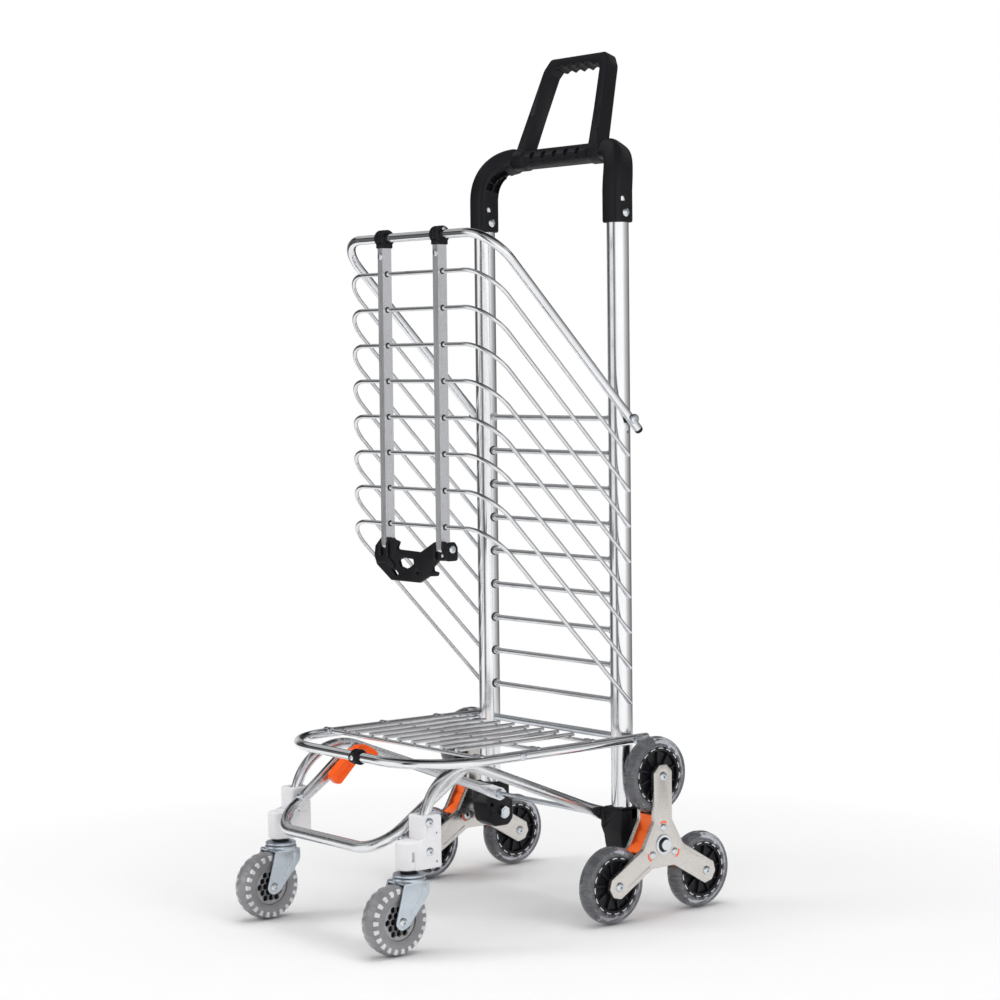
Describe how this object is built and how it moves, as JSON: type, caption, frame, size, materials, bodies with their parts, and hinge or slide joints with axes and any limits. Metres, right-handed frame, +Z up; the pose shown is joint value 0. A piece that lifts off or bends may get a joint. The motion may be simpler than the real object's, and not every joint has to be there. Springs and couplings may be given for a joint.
{
  "type": "stair climbing trolley",
  "caption": "Folding stair-climbing hand trolley with a slanted wire basket, fold-up wire deck, ladder back, grip loop, swivel casters and rotating wheel stars.",
  "frame": {"origin": "middle of the footprint, on the floor", "axes": "+Z up, -Y towards the front where the casters are, +X to the right seen from the front"},
  "size_m": [0.368, 0.4806, 0.9785],
  "materials": {
    "post_tube": "polished",
    "bright_wire": "polished",
    "rail_tube": "polished",
    "zinc_steel": "zinc plated",
    "star_plate": "satin",
    "black_plastic": "fine grain",
    "grey_plastic": "fine grain",
    "orange_plastic": "semi-gloss",
    "caster_rubber": "translucent grey",
    "star_rubber": "matte"
  },
  "bodies": {
    "frame": {"left_upright": "post_tube", "right_upright": "post_tube", "ladder_rungs": "bright_wire", "left_elbow": "black_plastic", "right_elbow": "black_plastic", "handle_tube": "rail_tube", "elbow_rivets": "zinc_steel", "left_lower_bracket": "black_plastic", "right_lower_bracket": "black_plastic", "deck_axle": "zinc_steel", "leg_pivot_rod": "zinc_steel", "star_axles": "zinc_steel", "rail_pivot_bolts": "black_plastic"},
    "grip": {"grip_loop": "black_plastic"},
    "rail": {"basket_rail": "rail_tube", "rail_end_plugs": "black_plastic"},
    "strips": {"left_strip": "rail_tube", "right_strip": "rail_tube", "strip_clips": "black_plastic"},
    "latch": {"basket_latch": "black_plastic"},
    "deck": {"deck_frame": "rail_tube", "deck_cross_wires": "bright_wire", "deck_long_wires": "bright_wire", "deck_ring": "black_plastic"},
    "legs": {"left_leg": "rail_tube", "right_leg": "rail_tube", "left_leg_bracket": "grey_plastic", "right_leg_bracket": "grey_plastic", "foot_bow": "rail_tube", "bracket_screws": "zinc_steel", "caster_stems": "zinc_steel", "grip_bar": "bright_wire"},
    "lever": {"lock_lever": "orange_plastic"},
    "wire_1": {"basket_wire_1": "bright_wire"},
    "wire_2": {"basket_wire_2": "bright_wire"},
    "wire_3": {"basket_wire_3": "bright_wire"},
    "wire_4": {"basket_wire_4": "bright_wire"},
    "wire_5": {"basket_wire_5": "bright_wire"},
    "wire_6": {"basket_wire_6": "bright_wire"},
    "wire_7": {"basket_wire_7": "bright_wire"},
    "wire_8": {"basket_wire_8": "bright_wire"},
    "left_swivel": {"left_fork": "zinc_steel"},
    "left_caster": {"left_caster_tyre": "caster_rubber", "left_caster_hub": "black_plastic"},
    "left_star": {"left_star_plates": "star_plate", "left_star_core": "orange_plastic", "left_star_bolts": "zinc_steel"},
    "left_wheel_1": {"left_star_wheel_1": "star_rubber"},
    "left_wheel_2": {"left_star_wheel_2": "star_rubber"},
    "left_wheel_3": {"left_star_wheel_3": "star_rubber"},
    "right_swivel": {"right_fork": "zinc_steel"},
    "right_caster": {"right_caster_tyre": "caster_rubber", "right_caster_hub": "black_plastic"},
    "right_star": {"right_star_plates": "star_plate", "right_star_core": "orange_plastic", "right_star_bolts": "zinc_steel"},
    "right_wheel_1": {"right_star_wheel_1": "star_rubber"},
    "right_wheel_2": {"right_star_wheel_2": "star_rubber"},
    "right_wheel_3": {"right_star_wheel_3": "star_rubber"}
  },
  "joints": [
    {"name": "deck_fold", "type": "hinge", "parent": "frame", "child": "deck", "pos_m": [0, 0.12416, 0.197], "axis": [-1, 0, 0], "range_deg": [0, 70]},
    {"name": "rail_fold", "type": "hinge", "parent": "frame", "child": "rail", "pos_m": [0, 0.12416, 0.558], "axis": [-1, 0, 0], "range_deg": [0, 33.4]},
    {"name": "strip_hang", "type": "hinge", "parent": "rail", "child": "strips", "pos_m": [0, -0.07684, 0.763], "axis": [-1, 0, 0], "range_deg": [-33.4, 0]},
    {"name": "latch_swing", "type": "hinge", "parent": "strips", "child": "latch", "pos_m": [0, -0.07684, 0.419], "axis": [-1, 0, 0], "range_deg": [-60, 60]},
    {"name": "legs_fold", "type": "hinge", "parent": "frame", "child": "legs", "pos_m": [0, 0.12116, 0.105], "axis": [-1, 0, 0], "range_deg": [0, 52.1]},
    {"name": "lever_turn", "type": "hinge", "parent": "legs", "child": "lever", "pos_m": [-0.08, -0.10184, 0.181], "axis": [-1, 0, 0], "range_deg": [0, 12]},
    {"name": "grip_fold", "type": "hinge", "parent": "frame", "child": "grip", "pos_m": [0, 0.14416, 0.861], "axis": [-1, 0, 0], "range_deg": [0, 150]},
    {"name": "wire_1_fold", "type": "hinge", "parent": "frame", "child": "wire_1", "pos_m": [0, 0.12416, 0.238], "axis": [-1, 0, 0], "range_deg": [0, 33.4]},
    {"name": "wire_2_fold", "type": "hinge", "parent": "frame", "child": "wire_2", "pos_m": [0, 0.12416, 0.278], "axis": [-1, 0, 0], "range_deg": [0, 33.4]},
    {"name": "wire_3_fold", "type": "hinge", "parent": "frame", "child": "wire_3", "pos_m": [0, 0.12416, 0.318], "axis": [-1, 0, 0], "range_deg": [0, 33.4]},
    {"name": "wire_4_fold", "type": "hinge", "parent": "frame", "child": "wire_4", "pos_m": [0, 0.12416, 0.358], "axis": [-1, 0, 0], "range_deg": [0, 33.4]},
    {"name": "wire_5_fold", "type": "hinge", "parent": "frame", "child": "wire_5", "pos_m": [0, 0.12416, 0.398], "axis": [-1, 0, 0], "range_deg": [0, 33.4]},
    {"name": "wire_6_fold", "type": "hinge", "parent": "frame", "child": "wire_6", "pos_m": [0, 0.12416, 0.438], "axis": [-1, 0, 0], "range_deg": [0, 33.4]},
    {"name": "wire_7_fold", "type": "hinge", "parent": "frame", "child": "wire_7", "pos_m": [0, 0.12416, 0.478], "axis": [-1, 0, 0], "range_deg": [0, 33.4]},
    {"name": "wire_8_fold", "type": "hinge", "parent": "frame", "child": "wire_8", "pos_m": [0, 0.12416, 0.518], "axis": [-1, 0, 0], "range_deg": [0, 33.4]},
    {"name": "left_swivel_turn", "type": "hinge", "parent": "legs", "child": "left_swivel", "pos_m": [-0.119, -0.18284, 0.081], "axis": [0, 0, 1], "continuous": true},
    {"name": "left_caster_spin", "type": "hinge", "parent": "left_swivel", "child": "left_caster", "pos_m": [-0.119, -0.20284, 0.0375], "axis": [1, 0, 0], "continuous": true},
    {"name": "left_star_turn", "type": "hinge", "parent": "frame", "child": "left_star", "pos_m": [-0.165, 0.13016, 0.082], "axis": [1, 0, 0], "continuous": true},
    {"name": "left_wheel_1_spin", "type": "hinge", "parent": "left_star", "child": "left_wheel_1", "pos_m": [-0.165, 0.13016, 0.159], "axis": [1, 0, 0], "continuous": true},
    {"name": "left_wheel_2_spin", "type": "hinge", "parent": "left_star", "child": "left_wheel_2", "pos_m": [-0.165, 0.06348, 0.0435], "axis": [1, 0, 0], "continuous": true},
    {"name": "left_wheel_3_spin", "type": "hinge", "parent": "left_star", "child": "left_wheel_3", "pos_m": [-0.165, 0.19684, 0.0435], "axis": [1, 0, 0], "continuous": true},
    {"name": "right_swivel_turn", "type": "hinge", "parent": "legs", "child": "right_swivel", "pos_m": [0.119, -0.18284, 0.081], "axis": [0, 0, 1], "continuous": true},
    {"name": "right_caster_spin", "type": "hinge", "parent": "right_swivel", "child": "right_caster", "pos_m": [0.119, -0.20284, 0.0375], "axis": [1, 0, 0], "continuous": true},
    {"name": "right_star_turn", "type": "hinge", "parent": "frame", "child": "right_star", "pos_m": [0.165, 0.13016, 0.082], "axis": [1, 0, 0], "continuous": true},
    {"name": "right_wheel_1_spin", "type": "hinge", "parent": "right_star", "child": "right_wheel_1", "pos_m": [0.165, 0.13016, 0.159], "axis": [1, 0, 0], "continuous": true},
    {"name": "right_wheel_2_spin", "type": "hinge", "parent": "right_star", "child": "right_wheel_2", "pos_m": [0.165, 0.06348, 0.0435], "axis": [1, 0, 0], "continuous": true},
    {"name": "right_wheel_3_spin", "type": "hinge", "parent": "right_star", "child": "right_wheel_3", "pos_m": [0.165, 0.19684, 0.0435], "axis": [1, 0, 0], "continuous": true}
  ],
  "couplings": [
    {"joint": "rail_fold", "follows": "deck_fold", "ratio": 0.475},
    {"joint": "strip_hang", "follows": "deck_fold", "ratio": -0.475},
    {"joint": "legs_fold", "follows": "deck_fold", "ratio": 0.743},
    {"joint": "wire_1_fold", "follows": "deck_fold", "ratio": 0.475},
    {"joint": "wire_2_fold", "follows": "deck_fold", "ratio": 0.475},
    {"joint": "wire_3_fold", "follows": "deck_fold", "ratio": 0.475},
    {"joint": "wire_4_fold", "follows": "deck_fold", "ratio": 0.475},
    {"joint": "wire_5_fold", "follows": "deck_fold", "ratio": 0.475},
    {"joint": "wire_6_fold", "follows": "deck_fold", "ratio": 0.475},
    {"joint": "wire_7_fold", "follows": "deck_fold", "ratio": 0.475},
    {"joint": "wire_8_fold", "follows": "deck_fold", "ratio": 0.475}
  ]
}
